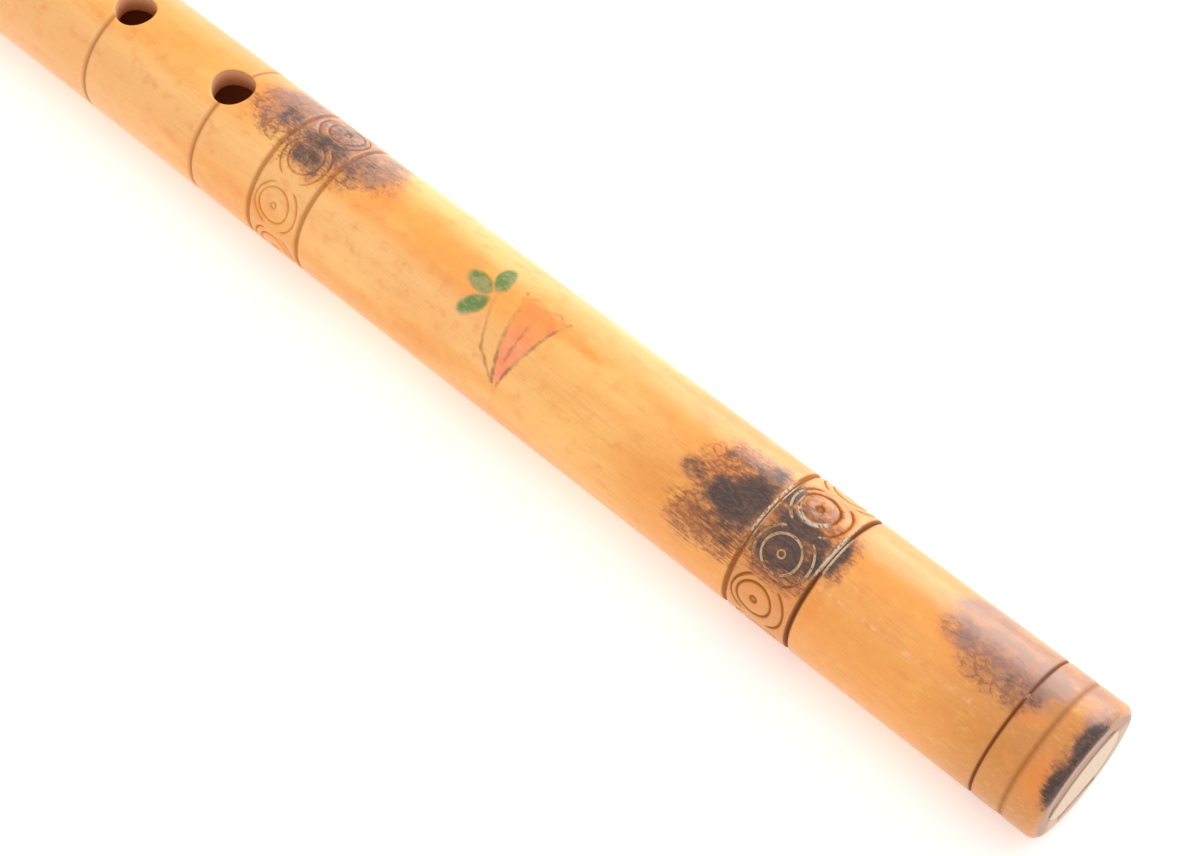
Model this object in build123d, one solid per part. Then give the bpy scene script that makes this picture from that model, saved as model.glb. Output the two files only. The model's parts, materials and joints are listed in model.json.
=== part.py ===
from build123d import *
import os

# Six-hole duct flute of bamboo, millimetres.
# Origin: centre of the mouth-end face. +X runs along the bore to the foot, +Z through the finger holes.

# Driving dimensions of the tube
tube_length = 350.0
tube_radius = 11.0
bore_radius = 7.35
seat_radius = 7.55
rim_fillet = 1.25
bore_chamfer = 0.35

# Finger holes along the top. A turned guide groove marks each one; the drill wandered a little on the first two.
guide_groove_x = 162.4
hole_pitch = 24.6
hole_drift = [(0.4, -0.1), (-1.5, -0.6), (0, 0), (0, 0), (0, 0), (0, 0)]  # along and across, from the groove
hole_radius = [3.4, 3.25, 3.3, 3.1, 3.4, 3.2]

# Voicing on the underside: windway under the block, window, and the lip that splits the air
block_length = 24.5
block_clearance = 0.02
windway_width = 8.4
windway_height = 1.35
windway_floor = 7.8
window_length = 5.8
lip_length = 9.5
lip_edge = 0.12

# Turned V-grooves, as (width, depth)
hole_groove = (0.8, 0.35)
band_groove = (1.1, 0.45)
end_groove = (0.7, 0.35)
soft_groove = (1.8, 0.12)
end_groove_inset = 10.6
soft_groove_inset = 5.6

# Carved bands: station of the groove nearer the mouth, width, and turn of the first circle in degrees
bands = [(42.6, 11.1, 31.0), (139.1, 10.5, 14.0), (298.2, 10.5, 22.5)]
circles_per_band = 8
carving_depth = 0.3
carving_line = 0.45
dot_radius = 0.55
ring_radius = 2.95
arc_inset = 1.1  # from the band's grooves
arc_half_width = 3.95

along_x = Rot(0, 90, 0)
past = 1.0  # how far cutters run past the surface that they open


def rod(radius, start, end):
    """A round bar along X from one station to another."""
    return Pos((start + end) / 2, 0, 0) * along_x * Cylinder(radius, end - start)


def turned_groove(station, width, depth):
    """A V-section ring that cuts a groove round the tube."""
    slope = width / 2 / depth
    outer = tube_radius + past
    half = slope * (depth + past)
    section = Polyline(
        (station - half, 0, outer), (station, 0, tube_radius - depth), (station + half, 0, outer), close=True
    )
    return revolve(make_face(section), Axis.X)


def carved_circle(station, angle, arc_radius):
    """A dot, a ring round it, and two open arcs outside, as posts that point out of the tube."""
    height = tube_radius + past
    half_line = carving_line / 2
    post = Pos(0, 0, height / 2)
    dot = post * Cylinder(dot_radius, height)
    ring = post * (Cylinder(ring_radius + half_line, height) - Cylinder(ring_radius - half_line, height))
    arcs = post * (Cylinder(arc_radius + half_line, height) - Cylinder(arc_radius - half_line, height))
    arcs &= post * Box(3 * arc_radius, 2 * arc_half_width, height)
    place = Pos(station, 0, 0) * Rot(-angle, 0, 0)
    return [place * shape for shape in [dot, ring, *arcs.solids()]]


def carving():
    """Every carved circle, cut down to a skin of even depth under the tube's surface."""
    posts = []
    for start, width, turn in bands:
        for index in range(circles_per_band):
            angle = turn + index * 360 / circles_per_band
            posts += carved_circle(start + width / 2, angle, width / 2 - arc_inset)
    skin = rod(tube_radius + past, 0, tube_length) - rod(tube_radius - carving_depth, 0, tube_length)
    return Compound(posts) & skin


def groove_stations():
    """Each turned groove as (station, width, depth)."""
    stations = []
    for end, step in [(0, 1), (tube_length, -1)]:
        stations.append((end + step * soft_groove_inset, *soft_groove))
        stations.append((end + step * end_groove_inset, *end_groove))
    for start, width, _ in bands:
        stations += [(start, *band_groove), (start + width, *band_groove)]
    for index in range(len(hole_radius)):
        stations.append((guide_groove_x + index * hole_pitch, *hole_groove))
    return stations


def finger_hole(index):
    """A straight drill down through the top wall."""
    along, across = hole_drift[index]
    station = guide_groove_x + index * hole_pitch + along
    return Pos(station, across, tube_radius) * Cylinder(hole_radius[index], tube_radius)


def voicing():
    """Windway groove in the wall, the window through it, and the sloped lip."""
    outside = -(tube_radius + past)
    window_end = block_length + window_length
    groove = Pos(block_length / 2, 0, -windway_floor / 2) * Box(
        block_length + 2 * past, windway_width, windway_floor
    )
    window = Pos(block_length + window_length / 2, 0, outside / 2) * Box(
        window_length, windway_width, -outside
    )
    slope = (tube_radius - bore_radius - lip_edge) / lip_length
    lip_start = (window_end - past, -(bore_radius + lip_edge) + slope * past)
    lip_finish = (window_end + lip_length + past / slope, outside)
    side = Polyline(
        (lip_start[0], 0, lip_start[1]), (lip_finish[0], 0, lip_finish[1]), (lip_start[0], 0, outside), close=True
    )
    lip = extrude(make_face(side), amount=windway_width / 2, dir=(0, 1, 0), both=True)
    return [groove, window, lip]


def make_tube():
    """The bamboo tube."""
    outer = rod(tube_radius, 0, tube_length)
    outer = fillet(outer.edges().filter_by(GeomType.CIRCLE), rim_fillet)
    for station, width, depth in groove_stations():
        outer -= turned_groove(station, width, depth)
    outer -= carving()
    tube = outer - rod(bore_radius, -past, tube_length + past)
    tube -= rod(seat_radius, -past, block_length)
    mouths = [edge for edge in tube.edges().filter_by(GeomType.CIRCLE) if edge.radius < seat_radius + past]
    tube = chamfer([edge for edge in mouths if round(edge.center().X, 3) in (0, tube_length)], bore_chamfer)
    for index in range(len(hole_radius)):
        tube -= finger_hole(index)
    for cutter in voicing():
        tube -= cutter
    return tube


def make_block():
    """The wooden block: a plug with a flat that is the windway's roof."""
    radius = seat_radius - block_clearance
    flat = windway_height - windway_floor
    plug = rod(radius, 0, block_length)
    below = Pos(block_length / 2, 0, flat - tube_radius / 2) * Box(2 * block_length, 2 * tube_radius, tube_radius)
    return plug - below


os.makedirs("parts", exist_ok=True)
nodes = {"tube": (make_tube(), "burlywood"), "fipple_block": (make_block(), "wheat")}
for name, (shape, colour) in nodes.items():
    shape.label = name
    shape.color = Color(colour)
    export_step(shape, f"parts/{name}.step")
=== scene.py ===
import json
import math
import random

import bmesh
import bpy
import numpy as np
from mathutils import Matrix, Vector


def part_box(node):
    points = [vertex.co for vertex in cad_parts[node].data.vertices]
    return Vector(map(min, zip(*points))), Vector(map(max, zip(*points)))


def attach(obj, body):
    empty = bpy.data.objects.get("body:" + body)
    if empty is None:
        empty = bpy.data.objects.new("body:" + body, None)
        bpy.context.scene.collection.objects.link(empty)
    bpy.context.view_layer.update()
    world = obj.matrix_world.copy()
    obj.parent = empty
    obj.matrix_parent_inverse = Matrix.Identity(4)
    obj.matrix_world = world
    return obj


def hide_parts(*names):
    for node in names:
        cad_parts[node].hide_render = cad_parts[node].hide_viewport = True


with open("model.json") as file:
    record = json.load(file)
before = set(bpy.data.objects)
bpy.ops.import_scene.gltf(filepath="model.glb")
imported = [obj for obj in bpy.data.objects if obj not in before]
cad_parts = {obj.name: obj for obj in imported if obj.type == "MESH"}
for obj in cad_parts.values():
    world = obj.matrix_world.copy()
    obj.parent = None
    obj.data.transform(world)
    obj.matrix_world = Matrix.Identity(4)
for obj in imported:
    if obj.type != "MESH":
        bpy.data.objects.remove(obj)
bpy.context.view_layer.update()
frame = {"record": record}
random.seed(11)

# Lengths are millimetres along and round the tube until a mesh is made, which is in metres.
MM = 0.001
tube_low, tube_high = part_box("tube")
block_low, block_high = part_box("fipple_block")
LENGTH = round(tube_high.x - tube_low.x, 5) / MM
RADIUS = round(tube_high.z - tube_low.z, 5) / MM / 2
BLOCK_LENGTH = round(block_high.x, 5) / MM
BORE = next(m["dims"]["r_mm"] for m in frame["record"]["mounts"] if m["name"] == "foot_bore")
BLOCK_CLEARANCE = 0.03
SEAT = round(block_high.z, 5) / MM + BLOCK_CLEARANCE

RIM_FILLET = 1.25
BORE_CHAMFER = 0.35

# Turned grooves as (width, depth). Across each, in half widths, a V runs out to VEE and a soft lip to LIPS.
BAND_GROOVE = (1.1, 0.45)
END_GROOVE = (0.7, 0.35)
SOFT_GROOVE = (1.8, 0.12)
GUIDE_GROOVE = (0.8, 0.35)
END_GROOVE_INSET = 10.6
SOFT_GROOVE_INSET = 5.6
VEE = 0.8
LIPS = 1.3
VEE_FLOOR = 0.93

# Carved bands as (station, width, turn of the first circle in degrees), and what each circle is made of
BANDS = [(42.6, 11.1, 31.0), (139.1, 10.5, 14.0), (298.2, 10.5, 22.5)]
CIRCLES = 8
RING_RADIUS = 2.9
DOT_RADIUS = 0.6
ARC_INSET = 1.15
ARC_HALF_WIDTH = 3.95
ARC_FADE = 0.5
CARVED_HALF_LINE = 0.3
CARVED_DEPTH = 0.3
# Section across a carved line, as (offset in half lines, share of the depth)
LINE_SECTION = [(1.3, 0.0), (0.7, 0.32), (0.0, 1.0), (-0.7, 0.32), (-1.3, 0.0)]
# Section of a circle from its flat inwards over the dot, as (radius, share of the depth)
DOT_SECTION = [
    (1.7, 0), (DOT_RADIUS + 0.3, 0), (DOT_RADIUS + 0.12, 0.25),
    (DOT_RADIUS - 0.08, 0.9), (DOT_RADIUS - 0.3, 0.45), (0.12, 0.35),
]
# How far single circles were carved off their place, along and across, by band and circle
CARVING_SLIPS = {
    (0, 0): (0.4, 0.05), (0, 1): (0.75, 0.0), (0, 7): (0.6, -0.15),
    (1, 0): (0.35, -0.6), (1, 1): (0.6, -0.2), (1, 7): (-0.3, -0.4),
}

# Finger holes: guide groove, drift of each drill along and across, and radius
GUIDE_START = 162.4
HOLE_PITCH = 24.6
HOLE_DRIFT = [(0.4, -0.1), (-1.5, -0.6), (0, 0), (0, 0), (0, 0), (0, 0)]
HOLE_RADIUS = [3.4, 3.25, 3.3, 3.1, 3.4, 3.2]
HOLE_EDGE = 0.3
HOLE_EDGE_GAPS = (0.5, 0.3, 0.2, 0.1, 0.03, 0.0)

# Windway, window and lip on the underside
WINDWAY_WIDTH = 8.4
WINDWAY_HEIGHT = 1.35
WINDWAY_FLOOR = 7.8
WINDOW_LENGTH = 5.8
LIP_LENGTH = 9.5
LIP_EDGE = 0.12

# Outline of the block from its face over the broken front edge, as (station, inset)
BLOCK_SECTIONS = [
    (0.02, 3.0), (0.0, 0.35), (0.03, 0.16), (0.12, 0.05), (0.3, 0.0),
    (8, 0.0), (16, 0.0), (BLOCK_LENGTH, 0.0),
]

# Mesh density
COLUMNS = 128
INNER_COLUMNS = 64
SIDE = 16
BLOCK_ARC_STEPS = 96
BLOCK_FLAT_STEPS = 12
TURN = 2 * math.pi / COLUMNS
PLAIN_STEP = 3.0
SHARP_ANGLE = 48


# ---------------------------------------------------------------------------------------- geometry
class Skin:
    """Points and faces of one closed surface. A point that is asked for twice is the same point."""

    def __init__(self):
        self.points = []
        self.faces = []
        self.known = {}

    def point(self, x, y, z):
        key = (round(x, 4) + 0.0, round(y, 4) + 0.0, round(z, 4) + 0.0)
        if key not in self.known:
            self.known[key] = len(self.points)
            self.points.append((x * MM, y * MM, z * MM))
        return self.known[key]

    def polar(self, x, angle, radius):
        return self.point(x, radius * math.sin(angle), radius * math.cos(angle))

    def face(self, *corners):
        kept = [c for i, c in enumerate(corners) if c != corners[i - 1]]
        if len(kept) > 2:
            self.faces.append(kept)

    def strip(self, one, other):
        """Faces between two closed loops of as many points, or of twice as many in the first."""
        step = len(one) // len(other)
        for k in range(len(other)):
            near, following = k * step, (k + 1) * step
            fan = [one[i % len(one)] for i in range(near, following + 1)]
            self.face(*fan, other[(k + 1) % len(other)], other[k])

    def mesh(self, name):
        mesh = bpy.data.meshes.new(name)
        mesh.from_pydata(self.points, [], self.faces)
        shape = bmesh.new()
        shape.from_mesh(mesh)
        bmesh.ops.recalc_face_normals(shape, faces=shape.faces)
        shape.to_mesh(mesh)
        shape.free()
        return mesh


def groove_cut(offset, width, depth):
    """Depth of a turned V-groove with softened lips, at an offset from its middle."""
    share = abs(offset) / (width / 2)
    if share >= LIPS:
        return 0.0
    if share > VEE:
        return depth * (1 - VEE) * ((LIPS - share) / (LIPS - VEE)) ** 2
    return depth * min(1 - share, VEE_FLOOR)


def turned_grooves():
    """Every groove turned round the tube, as (station, width, depth)."""
    grooves = []
    for end, step in [(0, 1), (LENGTH, -1)]:
        grooves.append((end + step * SOFT_GROOVE_INSET, *SOFT_GROOVE))
        grooves.append((end + step * END_GROOVE_INSET, *END_GROOVE))
    for start, width, _ in BANDS:
        grooves += [(start, *BAND_GROOVE), (start + width, *BAND_GROOVE)]
    for index in range(len(HOLE_RADIUS)):
        grooves.append((GUIDE_START + index * HOLE_PITCH, *GUIDE_GROOVE))
    return grooves


GROOVES = turned_grooves()


def turned_depth(x):
    """How far the turned surface lies under the full radius at a station."""
    depth = max(groove_cut(x - at, width, deep) for at, width, deep in GROOVES)
    from_end = min(x, LENGTH - x)
    if from_end < RIM_FILLET:
        rise = RIM_FILLET - from_end
        depth = max(depth, RIM_FILLET - math.sqrt(max(RIM_FILLET**2 - rise**2, 0)))
    return depth


def zone_rows():
    """Stations of the stretches that hold patches: SIDE + 1 rows each, their grooves' rows inside."""
    margin = BAND_GROOVE[0] / 2 * LIPS
    bands = [list(np.linspace(at + margin, at + width - margin, SIDE + 1)) for at, width, _ in BANDS]
    half = GUIDE_GROOVE[0] / 2
    side = [0.7 * half, LIPS * half, 1.2, 2.0, 2.9, 3.8, 4.6, 5.3]
    offsets = [-o for o in reversed(side)] + [0] + side
    holes = [[GUIDE_START + i * HOLE_PITCH + o for o in offsets] for i in range(len(HOLE_RADIUS))]
    return bands, holes


BAND_ROWS, HOLE_ROWS = zone_rows()


def all_rows():
    """Every station of the outer surface, from the mouth end to the foot."""
    rows = {0.0, LENGTH}
    for step in range(1, 7):
        rise = RIM_FILLET * (1 - math.cos(math.pi / 2 * step / 6))
        rows |= {rise, LENGTH - rise}
    for at, width, _ in GROOVES:
        rows |= {at + share * width / 2 for share in (-LIPS, -1.05, -VEE, -0.4, 0, 0.4, VEE, 1.05, LIPS)}
    for zone in BAND_ROWS + HOLE_ROWS:
        rows = {x for x in rows if not zone[0] + 1e-6 < x < zone[-1] - 1e-6} | set(zone)
    rows = sorted(rows)
    filled = [rows[0]]
    for x in rows[1:]:
        parts = math.ceil((x - filled[-1]) / PLAIN_STEP - 1e-6)
        start = filled[-1]
        filled += [start + (x - start) * (i + 1) / parts for i in range(max(parts, 1))] if parts else [x]
    merged = [filled[0]]
    for x in filled[1:]:
        if x - merged[-1] > 1e-4:
            merged.append(x)
    return merged


def square_border(rows, first, turn):
    """The 4 * SIDE chart points (station, angle) round a patch's edge, in order."""
    low, high = first * turn, (first + SIDE) * turn
    across = [low + i * turn for i in range(SIDE + 1)]
    border = [(rows[0], a) for a in across[:-1]] + [(x, high) for x in rows[:-1]]
    return border + [(rows[-1], a) for a in reversed(across[1:])] + [(x, low) for x in reversed(rows[1:])]


def carved_patch(skin, rows, first, arc_radius, slip):
    """One ring-and-dot circle with its two open arcs."""
    middle = (rows[0] + rows[-1]) / 2
    facing = (first + SIDE / 2) * TURN
    border = square_border(rows, first, TURN)
    loop = [skin.polar(x, a, RADIUS - turned_depth(x)) for x, a in border]
    headings = [math.atan2((a - facing) * RADIUS, x - middle) for x, a in border]
    drift = [s + random.uniform(-0.1, 0.1) for s in slip]
    swell = random.uniform(-0.06, 0.06)
    wave, firm = random.uniform(0, 6.3), random.uniform(0.85, 1.1)

    def place(radius, depth, kind):
        ids = []
        for heading in headings:
            along, across = radius * math.cos(heading), radius * math.sin(heading)
            cut = depth * CARVED_DEPTH * firm * (1 + 0.16 * math.sin(2 * heading + wave))
            if kind == "arc":
                fade = min(max((ARC_HALF_WIDTH - abs(across)) / ARC_FADE, 0), 1)
                cut *= fade * fade * (3 - 2 * fade)
                if abs(across) > ARC_HALF_WIDTH:
                    across = math.copysign(ARC_HALF_WIDTH + (abs(across) - ARC_HALF_WIDTH) * 0.3, across)
                along, across = along + drift[0] * 0.2, across + drift[1] * 0.5
            else:
                along, across = along + drift[0], across + drift[1]
            ids.append(skin.polar(middle + along, facing + across / RADIUS, RADIUS - cut))
        return ids

    loops = [(arc_radius + s * CARVED_HALF_LINE, d, "arc") for s, d in LINE_SECTION]
    loops.append(((arc_radius + RING_RADIUS) / 2, 0, "ring"))
    loops += [(RING_RADIUS + swell + s * CARVED_HALF_LINE, d, "ring") for s, d in LINE_SECTION]
    loops += [(radius, depth, "ring") for radius, depth in DOT_SECTION]
    for radius, depth, kind in loops:
        inner = place(radius, depth, kind)
        skin.strip(loop, inner)
        loop = inner
    skin.faces.append(list(loop))


def hole_patches(skin, index):
    """A finger hole: the outer patch with its softened edge, the wall, and the patch on the bore."""
    rows, radius = HOLE_ROWS[index], HOLE_RADIUS[index]
    along, across = HOLE_DRIFT[index]
    centre = (GUIDE_START + index * HOLE_PITCH + along, across)
    first = round(math.asin(across / RADIUS) / TURN) - SIDE // 2
    border = square_border(rows, first, TURN)
    loop = [skin.polar(x, a, RADIUS - turned_depth(x)) for x, a in border]
    headings = [math.atan2(RADIUS * math.sin(a) - centre[1], x - centre[0]) for x, a in border]

    def place(gap, level, edge):
        ids = []
        for heading in headings:
            x = centre[0] + (radius + gap) * math.cos(heading)
            y = centre[1] + (radius + gap) * math.sin(heading)
            cut = max(edge, turned_depth(x)) if level == RADIUS else -edge
            ids.append(skin.point(x, y, math.sqrt((level - cut) ** 2 - y * y)))
        return ids

    for gap in HOLE_EDGE_GAPS:
        edge = HOLE_EDGE - math.sqrt(HOLE_EDGE**2 - max(HOLE_EDGE - gap, 0) ** 2)
        inner = place(gap, RADIUS, edge)
        skin.strip(loop, inner)
        loop = inner
    for gap, edge in ((0.0, 0.15), (0.12, 0.0), (0.5, 0.0)):
        inner = place(gap, BORE, edge)
        skin.strip(loop, inner)
        loop = inner
    turn = 2 * math.pi / INNER_COLUMNS
    inner_border = square_border(rows, -SIDE // 2, turn)
    skin.strip(loop, [skin.polar(x, a, BORE) for x, a in inner_border])
    return first


def outer_surface(skin):
    """The turned surface between the two end faces, with its patches."""
    rows = all_rows()
    covered = {}
    for band, ((start, width, turn), zone) in enumerate(zip(BANDS, BAND_ROWS)):
        first = round(math.radians(turn) / TURN) - SIDE // 2
        for circle in range(CIRCLES):
            slip = CARVING_SLIPS.get((band, circle), (0, 0))
            carved_patch(skin, zone, first + circle * SIDE, width / 2 - ARC_INSET, slip)
        covered[zone[0], zone[-1]] = set(range(COLUMNS))
    for index, zone in enumerate(HOLE_ROWS):
        first = hole_patches(skin, index)
        covered[zone[0], zone[-1]] = {(first + i) % COLUMNS for i in range(SIDE)}
    loops = [[skin.polar(x, k * TURN, RADIUS - turned_depth(x)) for k in range(COLUMNS)] for x in rows]
    for near, far, low, high in zip(rows, rows[1:], loops, loops[1:]):
        middle = (near + far) / 2
        gone = next((c for (a, b), c in covered.items() if a < middle < b), set())
        for k in range(COLUMNS):
            if k not in gone:
                beside = (k + 1) % COLUMNS
                skin.face(low[k], high[k], high[beside], low[beside])
    return loops[0], loops[-1]


def bore_surface(skin):
    """The bore with the block's seat, out to the chamfered mouths."""
    turn = 2 * math.pi / INNER_COLUMNS
    rows = [(0.0, SEAT + BORE_CHAMFER), (BORE_CHAMFER, SEAT)]
    rows += [(BLOCK_LENGTH / 2, SEAT), (BLOCK_LENGTH, SEAT), (BLOCK_LENGTH, BORE)]
    rows += [(x, BORE) for x in np.linspace(BLOCK_LENGTH, HOLE_ROWS[0][0], 12)[1:-1]]
    for zone in HOLE_ROWS:
        rows += [(x, BORE) for x in zone]
    rows += [(x, BORE) for x in np.linspace(HOLE_ROWS[-1][-1], LENGTH - BORE_CHAMFER, 6)[1:]]
    rows.append((LENGTH, BORE + BORE_CHAMFER))
    loops = [[skin.polar(x, k * turn, r) for k in range(INNER_COLUMNS)] for x, r in rows]
    half = SIDE // 2
    for (near, _), (far, _), low, high in zip(rows, rows[1:], loops, loops[1:]):
        middle = (near + far) / 2
        open_here = any(zone[0] < middle < zone[-1] for zone in HOLE_ROWS)
        for k in range(INNER_COLUMNS):
            if not (open_here and (k < half or k >= INNER_COLUMNS - half)):
                beside = (k + 1) % INNER_COLUMNS
                skin.face(low[k], high[k], high[beside], low[beside])
    return loops[0], loops[-1]


def prism(name, outline, width):
    """A cutter: an outline of (x, z) points made solid across the tube."""
    skin = Skin()
    sides = [[skin.point(x, y, z) for x, z in outline] for y in (-width / 2, width / 2)]
    skin.strip(sides[0], sides[1])
    for side in sides:
        skin.faces.append(side)
    return bpy.data.objects.new(name, skin.mesh(name))


def cut_voicing(tube):
    """Cuts the windway's floor, the window and the sloped lip into the underside."""
    outside = -(RADIUS + 1)
    window_end = BLOCK_LENGTH + WINDOW_LENGTH
    rise = (RADIUS - BORE - LIP_EDGE) / LIP_LENGTH
    groove = [(-1, 0), (BLOCK_LENGTH + 1, 0), (BLOCK_LENGTH + 1, -WINDWAY_FLOOR), (-1, -WINDWAY_FLOOR)]
    window = [(BLOCK_LENGTH, 0), (window_end, 0), (window_end, outside), (BLOCK_LENGTH, outside)]
    start = (window_end - 1, -(BORE + LIP_EDGE) + rise)
    lip = [start, (window_end + LIP_LENGTH + 1 / rise, outside), (window_end - 1, outside)]
    for name, outline in (("cut_windway", groove), ("cut_window", window), ("cut_lip", lip)):
        cutter = prism(name, outline, WINDWAY_WIDTH)
        bpy.context.scene.collection.objects.link(cutter)
        cut = tube.modifiers.new(name, "BOOLEAN")
        cut.operation = "DIFFERENCE"
        cut.solver = "EXACT"
        cut.object = cutter
    bpy.context.view_layer.update()
    evaluated = tube.evaluated_get(bpy.context.evaluated_depsgraph_get())
    whole = tube.data
    carved = bpy.data.meshes.new_from_object(evaluated)
    tube.modifiers.clear()
    tube.data = carved
    bpy.data.meshes.remove(whole)
    for name in ("cut_windway", "cut_window", "cut_lip"):
        bpy.data.meshes.remove(bpy.data.objects[name].data)


def make_tube():
    """The bamboo tube as one closed mesh, with its windway, window and lip cut."""
    skin = Skin()
    mouth, foot = outer_surface(skin)
    inner_mouth, inner_foot = bore_surface(skin)
    skin.strip(mouth, inner_mouth)
    skin.strip(foot, inner_foot)
    tube = bpy.data.objects.new("bamboo_tube", skin.mesh("bamboo_tube"))
    bpy.context.scene.collection.objects.link(tube)
    cut_voicing(tube)
    return tube


def make_block():
    """The wooden block: rounded plug, flat on its windway side, its front edge broken."""
    radius = SEAT - BLOCK_CLEARANCE
    flat = WINDWAY_FLOOR - WINDWAY_HEIGHT
    skin = Skin()

    def section(x, inset):
        r, low = radius - inset, flat - inset
        reach = math.pi - math.acos(low / r)
        turned = [reach * (2 * i / BLOCK_ARC_STEPS - 1) for i in range(BLOCK_ARC_STEPS + 1)]
        arc = [(r * math.sin(a), r * math.cos(a)) for a in turned]
        half = r * math.sin(reach)
        across = [(half - 2 * half * (i + 1) / BLOCK_FLAT_STEPS, -low) for i in range(BLOCK_FLAT_STEPS - 1)]
        return [skin.point(x, y, z) for y, z in arc + across]

    loops = [section(x, inset) for x, inset in BLOCK_SECTIONS]
    skin.faces += [list(loops[0]), list(loops[-1])]
    for one, other in zip(loops, loops[1:]):
        skin.strip(one, other)
    block = bpy.data.objects.new("wooden_block", skin.mesh("wooden_block"))
    bpy.context.scene.collection.objects.link(block)
    return block


# ------------------------------------------------------------------------------------ shader maths
class Num:
    """A number in a shader. Arithmetic on it adds maths nodes to the material being built."""

    tree = None

    def __init__(self, socket):
        self.socket = socket

    def __add__(self, other):
        return maths("ADD", self, other)

    def __sub__(self, other):
        return maths("SUBTRACT", self, other)

    def __rsub__(self, other):
        return maths("SUBTRACT", other, self)

    def __mul__(self, other):
        return maths("MULTIPLY", self, other)

    __radd__, __rmul__ = __add__, __mul__


def node(kind, **settings):
    made = Num.tree.nodes.new("ShaderNode" + kind)
    for name, value in settings.items():
        setattr(made, name, value)
    return made


def feed(socket, value):
    if isinstance(value, Num):
        value = value.socket
    if isinstance(value, bpy.types.NodeSocket):
        Num.tree.links.new(value, socket)
    else:
        socket.default_value = value


def maths(operation, *values, clamp=False):
    made = node("Math", operation=operation, use_clamp=clamp)
    for socket, value in zip(made.inputs, values):
        feed(socket, value)
    return Num(made.outputs[0])


def vector(operation, *values, scale=None):
    made = node("VectorMath", operation=operation)
    for socket, value in zip(made.inputs, values):
        feed(socket, value)
    if scale is not None:
        feed(made.inputs["Scale"], scale)
    return made.outputs["Value" if operation in ("LENGTH", "DOT_PRODUCT") else "Vector"]


def highest(*values):
    result = values[0]
    for value in values[1:]:
        result = maths("MAXIMUM", result, value)
    return result


def lowest(*values):
    result = values[0]
    for value in values[1:]:
        result = maths("MINIMUM", result, value)
    return result


def smooth(value, low, high):
    """0 below low, 1 above high, and a soft step between. With low above high it falls instead."""
    made = node("MapRange", interpolation_type="SMOOTHSTEP")
    start, end = (0.0, 1.0) if low < high else (1.0, 0.0)
    names = ("Value", "From Min", "From Max", "To Min", "To Max")
    for name, given in zip(names, (value, min(low, high), max(low, high), start, end)):
        feed(made.inputs[name], given)
    return Num(made.outputs["Result"])


def noise(place, stretch, detail=2.0, rough=0.5, seed=0.0):
    """Noise in three dimensions. stretch is in cycles per millimetre along x, y and z."""
    moved = vector("MULTIPLY_ADD", place, stretch, (seed, seed * 1.7, seed * 0.6))
    made = node("TexNoise")
    feed(made.inputs["Vector"], moved)
    made.inputs["Scale"].default_value = 1.0
    made.inputs["Detail"].default_value = detail
    made.inputs["Roughness"].default_value = rough
    return Num(made.outputs[0])


def blend(share, one, other):
    """one where share is 0 and other where it is 1."""
    made = node("Mix", data_type="RGBA")
    feed(made.inputs[0], share)
    for socket, value in ((made.inputs[6], one), (made.inputs[7], other)):
        feed(socket, (*value, 1.0) if isinstance(value, tuple) else value)
    return made.outputs[2]


class Chart:
    """Where a point lies, in mm: along the tube, round it from the top line, and out from its axis."""

    def __init__(self):
        self.place = vector("SCALE", node("TexCoord").outputs["Object"], scale=1 / MM)
        split = node("SeparateXYZ")
        feed(split.inputs[0], self.place)
        self.along, self.across, self.up = (Num(s) for s in split.outputs)
        self.angle = maths("ARCTAN2", self.across, self.up)
        self.round = self.angle * RADIUS
        self.radius = maths("SQRT", self.across * self.across + self.up * self.up)
        flat = node("CombineXYZ")
        feed(flat.inputs[0], self.along)
        feed(flat.inputs[1], self.round)
        self.flat = flat.outputs[0]

    def from_end(self):
        return lowest(self.along, LENGTH - self.along)


def start_material(name):
    material = bpy.data.materials.new(name)
    material.use_nodes = True
    Num.tree = material.node_tree
    return material, material.node_tree.nodes["Principled BSDF"]


def bump(shader, height, depth):
    made = node("Bump")
    made.inputs["Strength"].default_value = 1.0
    made.inputs["Distance"].default_value = depth * MM
    feed(made.inputs["Height"], height)
    feed(shader.inputs["Normal"], made.outputs["Normal"])


# ------------------------------------------------------------------------------------------- paint
def stroke(flat, points, width):
    """Ink along a line of points on the chart: 1 on the line, 0 outside it."""
    gap = 99.0
    for start, end in zip(points, points[1:]):
        run = (end[0] - start[0], end[1] - start[1], 0)
        length = run[0] ** 2 + run[1] ** 2
        away = vector("SUBTRACT", flat, (*start, 0))
        share = maths("MULTIPLY", vector("DOT_PRODUCT", away, run), 1 / length, clamp=True)
        off = vector("SUBTRACT", away, vector("SCALE", run, scale=share))
        gap = lowest(gap, Num(vector("LENGTH", off)))
    return smooth(gap, width * 0.75, width * 0.1)


def oval(flat, centre, size, turn=0.0):
    """Distance out of an ellipse: 0 at its centre and 1 on its edge."""
    away = vector("SUBTRACT", flat, (*centre, 0))
    if turn:
        cos, sin = math.cos(math.radians(turn)), math.sin(math.radians(turn))
        turned = node("CombineXYZ")
        feed(turned.inputs[0], vector("DOT_PRODUCT", away, (cos, sin, 0)))
        feed(turned.inputs[1], vector("DOT_PRODUCT", away, (-sin, cos, 0)))
        away = turned.outputs[0]
    return Num(vector("LENGTH", vector("DIVIDE", away, (*size, 1))))


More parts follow.
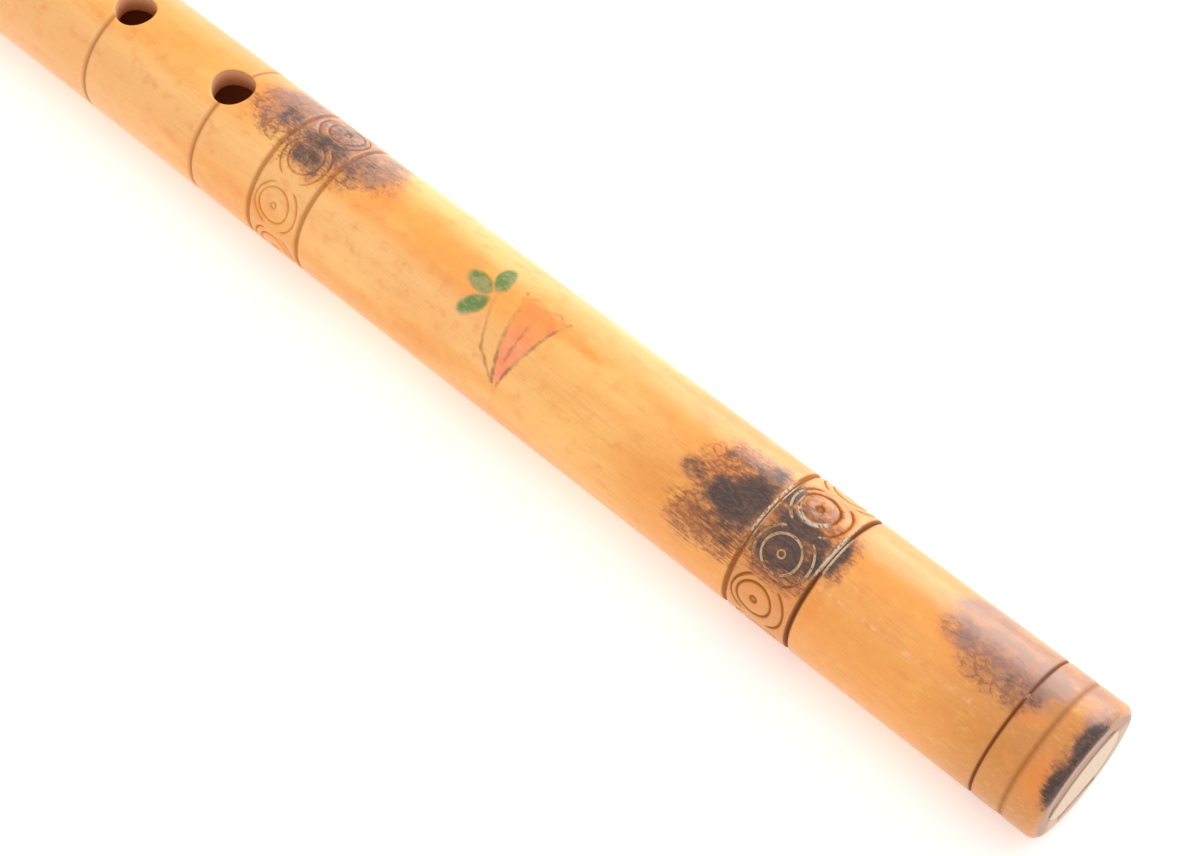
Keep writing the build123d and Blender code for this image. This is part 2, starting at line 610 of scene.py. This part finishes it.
def inside(flat, corners):
    """How far inside a convex outline a point lies, in millimetres; less than 0 outside."""
    middle = (sum(p[0] for p in corners) / len(corners), sum(p[1] for p in corners) / len(corners))
    gap = 99.0
    for start, end in zip(corners, corners[1:] + corners[:1]):
        normal = (start[1] - end[1], end[0] - start[0])
        size = math.hypot(*normal)
        normal = (normal[0] / size, normal[1] / size)
        reach = normal[0] * (middle[0] - start[0]) + normal[1] * (middle[1] - start[1])
        if reach < 0:
            normal = (-normal[0], -normal[1])
        base = normal[0] * start[0] + normal[1] * start[1]
        gap = lowest(gap, Num(vector("DOT_PRODUCT", flat, (*normal, 0))) - base)
    return gap


# A plain painted bell flower, even about its middle line, and a sprig of three equal leaves, in mm.
# Outlines are (distance from the middle line, place round the tube).
FLOWER_MIDDLE = 98.7
BELL_CUP = [(3.5, -1.5), (2.0, 6.5)]
BELL_TAIL = [(2.0, 6.0), (0.7, 12.0)]
BELL_EDGE = [(4.2, -2.2), (3.3, 0.5), (2.2, 6.0), (1.0, 10.0), (0.5, 12.2)]
BELL_RIM = [(-3.6, -1.4), (-2.0, -2.4), (0.0, -1.5), (2.0, -2.4), (3.6, -1.4)]
BELL_FOLD = [(0.0, 0.6), (0.0, 8.0)]
SPRIG = (106.0, 1.6)
LEAF_REACH = 3.4
LEAF_SIZE = (2.7, 1.5)
LEAF_TURNS = (-75, -10, 55)


def on_flower(points, side=1):
    """Chart points of an outline, or of its mirror image across the flower's middle line."""
    return [(FLOWER_MIDDLE + side * out, place) for out, place in points]


def painted_flower(chart):
    """(bell, leaf, ink) shares of the painted flower, its hand wavering a little."""
    wobble = node("CombineXYZ")
    for socket, seed in zip(wobble.inputs[:2], (21.0, 24.0)):
        feed(socket, noise(chart.flat, (0.9, 0.9, 0.0), seed=seed) - 0.5)
    flat = vector("ADD", chart.flat, vector("SCALE", wobble.outputs[0], scale=0.7))
    filled = -99.0
    for outline in (BELL_CUP, BELL_TAIL):
        filled = highest(filled, inside(flat, on_flower(outline) + on_flower(reversed(outline), -1)))
    leaf = 0.0
    for turn in LEAF_TURNS:
        heading = math.radians(turn)
        centre = (SPRIG[0] + LEAF_REACH * math.cos(heading), SPRIG[1] + LEAF_REACH * math.sin(heading))
        leaf = highest(leaf, smooth(oval(flat, centre, LEAF_SIZE, turn), 1.15, 0.7))
    sides = highest(stroke(flat, on_flower(BELL_EDGE), 0.65), stroke(flat, on_flower(BELL_EDGE, -1), 0.65))
    rim = stroke(flat, on_flower(BELL_RIM), 0.65)
    fold = stroke(flat, on_flower(BELL_FOLD), 0.55)
    stem = stroke(flat, [on_flower(BELL_EDGE)[-1], (103.0, 8.6), SPRIG], 0.6)
    ink = highest(sides * 0.5, rim * 0.45, fold * 0.3, stem * 0.4)
    return smooth(filled, -0.3, 0.35), leaf, ink


# --------------------------------------------------------------------------------------- scorching
# Scorched patches as (station, degrees round from the top line, half length, half width, strength)
CHARRED = [
    (0.2, 6.0, 2.3, 5.6, 1.25),
    (0.1, 42.0, 2.3, 5.0, 1.25),
    (57.0, 14.0, 4.4, 6.4, 1.0),
    (59.2, 22.0, 5.4, 3.4, 1.05),
    (62.0, -5.0, 4.0, 2.6, 0.4),
    (56.6, -8.0, 4.0, 4.4, 0.62),
    (58.0, 42.0, 6.6, 3.4, 0.52),
    (65.4, 19.0, 3.4, 2.4, 0.5),
    (48.4, 29.0, 6.6, 5.0, 0.82),
    (48.5, 7.0, 6.8, 2.4, 0.85),
    (48.6, -6.0, 3.2, 2.0, 0.6),
    (52.7, -12.0, 1.6, 3.4, 0.9),
    (9.9, 6.0, 1.9, 1.3, 0.56),
    (12.6, 6.0, 3.0, 3.0, 0.5),
    (144.5, -32.0, 5.0, 4.5, 0.42),
    (44.2, 24.0, 1.8, 3.6, 0.9),
    (42.1, 8.0, 1.8, 4.6, 0.9),
    (144.6, 9.0, 4.8, 2.8, 0.66),
    (144.5, -9.0, 6.2, 2.8, 0.66),
    (151.8, -12.0, 3.2, 4.2, 0.5),
    (137.0, -10.0, 2.8, 4.4, 0.46),
    (301.0, 14.0, 8.5, 7.0, 0.95),
    (311.0, 2.0, 6.5, 6.0, 0.7),
    (349.8, -15.0, 2.2, 9.0, 1.1),
]
BROWNED = [
    (1.0, 18.0, 2.4, 10.0, 0.6),
    (11.8, 7.0, 3.8, 3.6, 0.95),
    (17.0, 8.0, 5.5, 3.6, 0.74),
    (23.0, -4.0, 4.0, 3.0, 0.5),
    (15.0, -4.0, 7.0, 3.0, 0.66),
    (61.5, 7.0, 6.8, 7.6, 0.62),
    (59.5, 45.0, 8.6, 4.6, 0.76),
    (60.0, 57.0, 9.0, 3.2, 0.5),
    (48.5, 4.0, 7.0, 9.5, 0.75),
    (48.5, 45.0, 6.5, 3.0, 0.6),
    (41.2, 9.0, 2.2, 6.0, 0.62),
    (144.5, -8.0, 12.5, 8.0, 0.74),
    (133.5, -14.0, 5.0, 5.0, 0.5),
    (153.5, -30.0, 5.0, 6.0, 0.5),
    (136.0, -30.0, 5.0, 6.0, 0.45),
    (155.5, -12.0, 5.5, 5.5, 0.62),
    (152.8, 3.0, 3.6, 3.4, 0.78),
    (137.0, 2.0, 3.2, 3.2, 0.6),
    (305.0, 10.0, 13.0, 10.0, 0.6),
    (338.0, 24.0, 7.0, 5.0, 0.7),
]
# Greyish scorch haze, mostly over the top, its pale grey partly a painted sheen of the lacquer, listed in
# the same way
ASHY_SHEEN = [
    (13.0, -17.0, 9.5, 7.2, 1.0),
    (20.5, -24.0, 7.5, 7.5, 1.2),
    (8.0, -36.0, 9.0, 5.0, 0.6),
    (0.9, -16.0, 3.0, 5.0, 0.95),
    (58.5, -17.0, 5.5, 2.8, 0.5),
    (136.5, -26.0, 6.5, 7.0, 0.95),
    (146.0, -34.0, 12.0, 8.0, 1.05),
    (153.5, -26.0, 6.5, 7.0, 0.95),
    (144.5, 3.0, 6.0, 4.5, 0.6),
    (318.0, -14.0, 8.0, 6.0, 0.6),
]
# Where heat turned the lacquer orange, listed in the same way
TOASTED = [
    (3.2, 47.0, 2.6, 4.8, 0.8),
    (8.6, 13.0, 2.6, 2.6, 0.6),
    (22.5, 4.0, 3.2, 2.6, 0.5),
    (63.0, 4.0, 3.6, 4.4, 0.6),
    (41.0, 50.0, 1.6, 5.0, 0.5),
    (131.5, -7.0, 4.5, 6.5, 0.6),
    (158.0, -6.0, 5.0, 6.5, 0.6),
    (88.9, -0.5, 3.0, 1.0, 0.7),
]

# Edges of the lower band's grooves painted pale as a highlight, as (station, half width, strength), and the
# middles of the circle whose ring gets a painted highlight and of the one whose dot stayed sooty, along and
# round
HIGHLIT_EDGES = [(42.15, 0.2, 0.5), (43.05, 0.2, 0.85), (53.4, 0.2, 0.6), (54.0, 0.27, 0.85)]
HIGHLIT_RING = (48.75, -2.84)
SOOTED_DOT = (48.55, 6.0)


def patches(chart, listed):
    """A soft field that is highest in the middle of each listed patch."""
    field = 0.0
    for along, turn, half_length, half_width, strength in listed:
        off = oval(chart.flat, (along, math.radians(turn) * RADIUS), (half_length, half_width))
        field = highest(field, smooth(off, 1.2, 0.3) * strength)
    return field


def scorching(chart, blotch, mottle, streak):
    """(browned, charred, ashy) shares of the surface, the ashy grey partly a painted sheen. Browning also
    rims what is charred.
    """
    lower = smooth(chart.round, 6.0, 9.0)
    veins = maths("ABSOLUTE", noise(chart.place, (0.55, 0.8, 0.8), 2.0, 0.5, 13.0) - 0.5)
    ragged = (blotch - 0.5) * 1.3 + (mottle - 0.5) * 1.6 + (streak - 0.5) * (0.3 + lower * 2.0)
    browned, charred = patches(chart, BROWNED), patches(chart, CHARRED)
    veined = 0.5 + 0.7 * smooth(veins, 0.10, 0.01) + 0.3 * lower
    brown = smooth(browned * 1.25 - 0.5 + ragged * 0.8, -0.4, 0.4) * smooth(browned, 0.02, 0.25) * veined
    char = smooth(charred * 1.35 - 0.64 + ragged, -0.32, 0.5) * smooth(charred, 0.02, 0.2)
    halo = smooth(charred * 1.35 - 0.3 + ragged * 0.6, -0.4, 0.5) * smooth(charred, 0.0, 0.3)
    ash_and_sheen = smooth(patches(chart, ASHY_SHEEN) + (blotch - 0.5) * 0.9 + (mottle - 0.5) * 0.25, 0.0, 0.95)
    return lowest(highest(brown, halo * 0.75), 1.0), char, ash_and_sheen


# --------------------------------------------------------------------------------------- materials
class Grain:
    """The noises that the layers of the lacquered skin share."""

    def __init__(self, place):
        self.fibre = noise(place, (0.11, 3.0, 3.0), 3.0, 0.6, 3.0)
        self.pores = noise(place, (0.35, 5.0, 5.0), 2.0, 0.5, 9.0)
        self.broad = noise(place, (0.03, 0.12, 0.12), 3.0, 0.5, 1.0)
        self.blotch = noise(place, (0.42, 0.5, 0.5), 3.0, 0.55, 5.0)
        self.mottle = noise(place, (1.0, 2.6, 2.6), 4.0, 0.65, 7.0)
        self.streak = noise(place, (0.24, 4.6, 4.6), 3.0, 0.6, 11.0)


def bare_bamboo(chart, grain, from_end):
    """Colour of the lacquered cane before scorching: honey in the middle and darker at the ends; towards
    the foot the top is painted darker as shade and the lower side paler as painted light.
    """
    base = blend(smooth(grain.broad, 0.36, 0.64), (0.88, 0.35, 0.060), (0.95, 0.49, 0.135))
    base = blend(smooth(from_end, 84, 62) * 0.8, base, (0.84, 0.325, 0.058))
    base = blend(smooth(from_end, 26, 6) * 0.9, base, (0.57, 0.215, 0.040))
    flank = smooth(chart.along, 85, 110) * smooth(chart.round, 3.0, 6.0) * smooth(chart.round, 13.0, 10.0)
    base = blend(flank * 0.5, base, (0.96, 0.54, 0.22))
    # Painted shade: the top of the cane towards the foot is darker.
    painted_top_shade = smooth(chart.along, 135, 170) * smooth(chart.round, 2.0, -3.0)
    base = blend(painted_top_shade * 0.7, base, (0.88, 0.33, 0.055))
    # Painted light: the lower side of the cane towards the foot is paler.
    painted_underside_light = smooth(chart.along, 150, 185) * smooth(chart.round, 5.0, 9.0)
    base = blend(painted_underside_light * 0.6, base, (0.85, 0.42, 0.15))

    base = blend(smooth(grain.blotch, 0.5, 0.72) * 0.4, base, (0.93, 0.31, 0.055))
    pale = smooth(grain.mottle * 0.5 + grain.blotch * 0.5, 0.5, 0.34)
    base = blend(pale * 0.3, base, (0.92, 0.50, 0.12))
    mild = 1.0 - 0.5 * smooth(chart.along, 60, 110)
    base = blend(smooth(grain.fibre, 0.5, 0.7) * 0.28 * mild, base, (0.60, 0.21, 0.05))
    base = blend(smooth(grain.pores, 0.56, 0.74) * 0.25 * mild, base, (0.45, 0.15, 0.04))

    # Each carved band is tinted darker, the tint fading out over its top, which stays pale as painted
    # light.
    for (start, width, _), darker in zip(BANDS, (0.5, 0.12, 0.3)):
        end = start + width
        within = smooth(chart.along, start + 0.2, start + 0.8) * smooth(chart.along, end - 0.2, end - 0.8)
        base = blend(within * smooth(chart.round, -9.0, 2.0) * darker, base, (0.62, 0.215, 0.055))
    beside = 99.0
    for at, width, _ in GROOVES:
        if width != SOFT_GROOVE[0]:
            beside = lowest(beside, maths("ABSOLUTE", chart.along - at))
    return blend(smooth(beside, 0.8, 0.25) * 0.5, base, (0.50, 0.19, 0.06))


def scorched(base, chart, grain):
    """The colour with its burns over it, and the charred share and the ashy share, whose grey is partly a
    painted sheen.
    """
    base = blend(patches(chart, TOASTED) * (0.4 + 0.6 * grain.blotch), base, (0.84, 0.24, 0.035))
    brown, char, ash_and_sheen = scorching(chart, grain.blotch, grain.mottle, grain.streak)
    base = blend(brown * 0.85, base, (0.29, 0.082, 0.028))
    # Greyish pink of the ashy share: scorch haze with a painted sheen.
    ash_sheen_colour = blend(smooth(grain.blotch, 0.36, 0.62), (0.40, 0.175, 0.11), (0.24, 0.155, 0.145))
    base = blend(ash_and_sheen * 0.72, base, ash_sheen_colour)
    sooty = blend(smooth(grain.mottle, 0.42, 0.68), (0.026, 0.018, 0.017), (0.13, 0.052, 0.034))
    return blend(char * 0.95, base, sooty), char, ash_and_sheen


def painted(base, chart, grain):
    """The colour with the flower over it, its paint thin in places."""
    bell, leaf, ink = painted_flower(chart)
    thin = smooth(grain.blotch * 0.6 + grain.mottle * 0.4, 0.42, 0.62)
    bell_colour = blend(smooth(chart.round, 2, 7), (0.90, 0.20, 0.045), (0.92, 0.22, 0.11))
    base = blend(bell * (0.52 + 0.25 * thin), base, bell_colour)
    leaf_colour = blend(thin, (0.045, 0.19, 0.03), (0.08, 0.26, 0.12))
    base = blend(leaf * (0.9 - 0.25 * thin), base, leaf_colour)
    inked = 0.35 + 0.9 * smooth(grain.broad * 0.5 + grain.blotch * 0.5, 0.40, 0.58)
    return blend(ink * inked, base, (0.15, 0.050, 0.028))


def stained(base, chart, grain, from_end, char, ash_and_sheen):
    """The colour with stain in every cut line, and the carved share and the share of bare cane and painted
    glint.

    Lines are lighter from the middle band on. Where fire reached the lower band they show bare cane,
    painted pale partly as a glint of light.
    """
    cut = (RADIUS - chart.radius) * smooth(from_end, 1.4, 1.6)
    faded = smooth(chart.along, 120, 135)
    carved = smooth(cut - 0.07 * faded, 0.015, 0.16)
    deep = smooth(cut, 0.16, 0.38) * (1.0 - faded)
    stain = blend(faded, (0.27, 0.085, 0.022), (0.36, 0.135, 0.05))
    near, across, _ = BANDS[0]
    far = near + across
    ringed = smooth(chart.along, near + 0.7, near + 0.9) * smooth(chart.along, far - 0.7, far - 0.9)
    lighter = highest(ringed, smooth(chart.along, near + 3.0, near + 6.0))
    base = blend(carved * (0.85 - 0.34 * faded - 0.2 * lighter) * (1.0 - 0.4 * ash_and_sheen), base, stain)
    base = blend(deep * 0.75 * (1.0 - 0.9 * lighter), base, (0.11, 0.030, 0.008))
    # Pale lines where fire reached: partly bare cane, partly a painted glint of light.
    bare_cane_and_glint = char * smooth(grain.mottle, 0.30, 0.48) * smooth(cut, 0.08, 0.15) * (1.0 - 0.75 * faded)
    bare_cane_and_glint = bare_cane_and_glint * smooth(oval(chart.flat, SOOTED_DOT, (1, 1)), 0.3, 0.6) * smooth(cut, 0.4, 0.3)
    return blend(bare_cane_and_glint, base, (0.62, 0.45, 0.29)), carved, bare_cane_and_glint


def painted_groove_highlights(base, chart, grain):
    """The colour with a painted highlight along the lower band's grooves and on the lower side of one of
    its rings.
    """
    edge_highlight = 0.0
    for at, half, share in HIGHLIT_EDGES:
        edge_highlight = highest(edge_highlight, smooth(maths("ABSOLUTE", chart.along - at), half, half * 0.3) * share)
    # The painted highlight only falls on a strip round the top.
    edge_highlight = edge_highlight * smooth(chart.round, -5.4, -3.0) * smooth(chart.round, 7.0, 4.4)
    off_ring = maths("ABSOLUTE", oval(chart.flat, HIGHLIT_RING, (1, 1)) - RING_RADIUS)
    low_side = smooth(chart.round, HIGHLIT_RING[1] + 0.6, HIGHLIT_RING[1] + 2.0)
    ring = smooth(off_ring, 0.38, 0.15) * low_side
    return blend(highest(edge_highlight, ring) * smooth(grain.mottle, 0.38, 0.56) * 0.85, base, (0.84, 0.72, 0.56))


def scratched(base, chart, grain):
    """The colour with one broken pale scratch along the flank by the mouth end."""
    dashes = smooth(noise(chart.flat, (0.7, 0.0, 0.0)), 0.46, 0.66)
    dashes = dashes * smooth(chart.along, 12, 15) * smooth(chart.along, 42, 41)
    scratch = smooth(maths("ABSOLUTE", chart.round - 6.9 + grain.blotch), 0.5, 0.05)
    return blend(scratch * dashes * (0.2 + grain.mottle) * 0.4, base, (0.95, 0.60, 0.46))


def skin_material():
    """Lacquered bamboo with scorch marks, carved lines, paint, a scratch, and painted highlights, sheen and
    shade.
    """
    material, shader = start_material("lacquered_bamboo")
    chart = Chart()
    grain = Grain(chart.place)
    from_end = chart.from_end()
    base = bare_bamboo(chart, grain, from_end)
    base, char, ash_and_sheen = scorched(base, chart, grain)
    base = painted(base, chart, grain)
    base, carved, bare_cane_and_glint = stained(base, chart, grain, from_end, char, ash_and_sheen)
    base = painted_groove_highlights(base, chart, grain)
    base = scratched(base, chart, grain)
    base = blend(smooth(from_end, 0.3, 0.04) * (1.0 - char * 0.9), base, (0.42, 0.21, 0.12))
    feed(shader.inputs["Base Color"], base)

    feed(shader.inputs["Roughness"], 0.40 + 0.14 * grain.blotch + 0.12 * char + 0.2 * carved)
    feed(shader.inputs["Coat Weight"], 0.42 - 0.38 * carved * (1.0 - bare_cane_and_glint))
    shader.inputs["Coat Roughness"].default_value = 0.2
    feed(shader.inputs["Specular IOR Level"], 0.35 - 0.25 * carved)
    waves = noise(chart.place, (0.1, 0.3, 0.3), 2.0, 0.5, 2.0)
    relief = waves * 1.6 + grain.fibre * 0.5 + grain.pores * 0.3 + grain.mottle * (0.3 + char * 1.1)
    bump(shader, relief, 0.035)
    return material


def face_reach(chart):
    """Distance over the mouth end's face, growing towards the side where its rim is scorched."""
    return Num(vector("LENGTH", vector("SUBTRACT", chart.place, (0, -3.4, -7.1))))


def cut_material():
    """Bamboo cut across or drilled: end grain, bore, finger-hole walls and lip."""
    material, shader = start_material("cut_bamboo")
    chart = Chart()
    strands = noise(chart.place, (0.05, 3.0, 3.0), 3.0, 0.6, 4.0)
    patch = noise(chart.place, (0.15, 0.5, 0.5), 3.0, 0.6, 6.0)
    base = blend(smooth(strands, 0.4, 0.7), (0.55, 0.30, 0.16), (0.38, 0.18, 0.085))
    base = blend(smooth(patch, 0.4, 0.75) * 0.5, base, (0.33, 0.15, 0.07))
    # Darker and more orange towards the bore: partly the inner cane's colour, partly painted shade down the
    # finger holes.
    deep = smooth(chart.radius, RADIUS - 0.3, BORE + 0.4) * smooth(chart.from_end(), 1.0, 3.0)
    at_face = smooth(chart.along, 0.25, 0.1)
    base = blend((1.0 - at_face) * 0.85, base, blend(deep, (0.92, 0.50, 0.30), (0.76, 0.29, 0.10)))
    face = blend(smooth(face_reach(chart), 9.4, 12.2), (0.64, 0.50, 0.39), (0.44, 0.25, 0.165))
    base = blend(at_face * 0.8, base, face)
    feed(shader.inputs["Base Color"], base)
    feed(shader.inputs["Roughness"], 0.5 + 0.2 * strands)
    bump(shader, strands, 0.05)
    return material


def block_material():
    """Pale raw wood of the block, its end grain facing the mouth end."""
    material, shader = start_material("pale_wood")
    chart = Chart()
    bent = noise(chart.place, (0.1, 0.12, 0.12), 2.0, 0.5, 2.0)
    rings = maths("SINE", (chart.up * 2.2 + bent * 9.0) * 2.0) * 0.5 + 0.5
    grain = noise(chart.place, (0.25, 3.5, 3.5), 3.0, 0.6, 8.0)
    base = blend(smooth(rings, 0.3, 0.95) * 0.35, (0.72, 0.56, 0.43), (0.60, 0.43, 0.31))
    base = blend(smooth(grain, 0.5, 0.72) * 0.4, base, (0.45, 0.30, 0.20))
    reach, at_face = face_reach(chart), smooth(chart.along, 0.5, 0.3)
    base = blend(at_face * smooth(reach, 12.4, 13.8), base, (0.46, 0.27, 0.18))
    # Painted shadow: a brown line where the block meets the bore, on the side where the rim is scorched.
    painted_gap_shadow = at_face * smooth(reach, 10.8, 12.6) * smooth(reach, 14.2, 13.2)
    base = blend(painted_gap_shadow, base, (0.26, 0.115, 0.055))
    feed(shader.inputs["Base Color"], base)
    feed(shader.inputs["Roughness"], 0.55 + 0.2 * grain)
    bump(shader, grain + rings * 0.3, 0.04)
    return material


def floor_material():
    """Matt white that glows a little, so that the floor stays as pale as the backdrop."""
    material, shader = start_material("pale_floor")
    chart = Chart()
    shade = noise(chart.place, (0.004, 0.004, 0.004), 2.0, 0.5, 0.0)
    feed(shader.inputs["Base Color"], blend(shade, (0.93, 0.93, 0.93), (0.95, 0.95, 0.95)))
    shader.inputs["Roughness"].default_value = 0.9
    shader.inputs["Emission Color"].default_value = (1, 1, 1, 1)
    shader.inputs["Emission Strength"].default_value = 0.26
    return material


def soften(mesh):
    """Shades a mesh smooth, except over its sharp edges."""
    for face in mesh.polygons:
        face.use_smooth = True
    mesh.set_sharp_from_angle(angle=math.radians(SHARP_ANGLE))


def finish_tube(tube):
    """Gives each face its material: lacquer outside, cut bamboo elsewhere."""
    tube.data.materials.clear()
    tube.data.materials.append(skin_material())
    tube.data.materials.append(cut_material())
    window_end = BLOCK_LENGTH + WINDOW_LENGTH
    for face in tube.data.polygons:
        x, y, z = (c / MM for c in face.center)
        out = math.hypot(y, z)
        at_end = abs(face.normal.x) > 0.97 and min(x, LENGTH - x) < 0.2
        by_lip = window_end - 0.1 < x < window_end + LIP_LENGTH + 0.1 and z < 0
        by_lip = by_lip and abs(y) < WINDWAY_WIDTH / 2 + 0.05
        on_lip = by_lip and (abs(face.normal.y) > 0.9 or 0.1 < abs(face.normal.x))
        below = out < RADIUS - BAND_GROOVE[1] - 0.1 and min(x, LENGTH - x) > RIM_FILLET
        within = out < SEAT + BORE_CHAMFER + 0.05
        face.material_index = int(at_end or on_lip or below or within)
    soften(tube.data)


# ------------------------------------------------------------------------------------------- stage
FLOOR_HALF_SIZE = 3.0
# Soft boxes as (name, station, degrees round from the top line, distance, size, power), in m and W
LIGHTS = [
    ("side_softbox", -0.15, -68, 1.2, (1.5, 1.0), 9.5),
    ("highlight", 0.25, -65.5, 1.2, (0.5, 1.05), 4.0),
    ("top_fill", 0.12, 20, 1.5, (2.0, 2.0), 8.0),
]
# Camera over the mouth end: its place in tube radii, the way it looks, and its lens in millimetres
CAMERA_PLACE = (-4.24, 13.32, 27.64)
CAMERA_AIM = (0.36302, -0.39816, -0.84240)
CAMERA_LENS = 75
CAMERA_SENSOR = 36


def make_floor():
    """Pale floor that the flute rests on."""
    size, level = FLOOR_HALF_SIZE, tube_low.z
    ground = bpy.data.meshes.new("floor")
    corners = [(-size, -size, level), (size, -size, level), (size, size, level), (-size, size, level)]
    ground.from_pydata(corners, [], [(0, 1, 2, 3)])
    floor = bpy.data.objects.new("floor", ground)
    floor.data.materials.append(floor_material())
    bpy.context.scene.collection.objects.link(floor)


def aim(thing, place, direction):
    """Puts a light or camera at a place, looking in a direction, in the scene."""
    thing.location = place
    thing.rotation_mode = "QUATERNION"
    thing.rotation_quaternion = direction.to_track_quat("-Z", "Y")
    bpy.context.scene.collection.objects.link(thing)


def make_lights():
    """Even studio light from all round, with three soft boxes."""
    world = bpy.data.worlds.new("studio")
    world.use_nodes = True
    world.node_tree.nodes["Background"].inputs["Color"].default_value = (1.0, 0.99, 0.97, 1)
    world.node_tree.nodes["Background"].inputs["Strength"].default_value = 0.75
    bpy.context.scene.world = world
    for name, along, turn, distance, size, power in LIGHTS:
        lamp = bpy.data.lights.new(name, "AREA")
        lamp.shape = "RECTANGLE"
        lamp.size, lamp.size_y = size
        lamp.energy = power
        towards = Vector((0, math.sin(math.radians(turn)), math.cos(math.radians(turn))))
        aim(bpy.data.objects.new(name, lamp), Vector((along, 0, 0)) + towards * distance, -towards)


def make_camera():
    """Camera over the mouth end, looking down along the flute."""
    lens = bpy.data.cameras.new("camera")
    lens.lens = CAMERA_LENS
    lens.sensor_width = CAMERA_SENSOR
    camera = bpy.data.objects.new("camera", lens)
    aim(camera, Vector(CAMERA_PLACE) * RADIUS * MM, Vector(CAMERA_AIM))
    bpy.context.scene.camera = camera
    bpy.context.scene.view_settings.view_transform = "Standard"


# ------------------------------------------------------------------------------------------- pieces
tube = make_tube()
finish_tube(tube)
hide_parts("tube")
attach(tube, "root")

block = make_block()
block.data.materials.append(block_material())
soften(block.data)
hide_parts("fipple_block")
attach(block, "root")

make_floor()
make_lights()
make_camera()
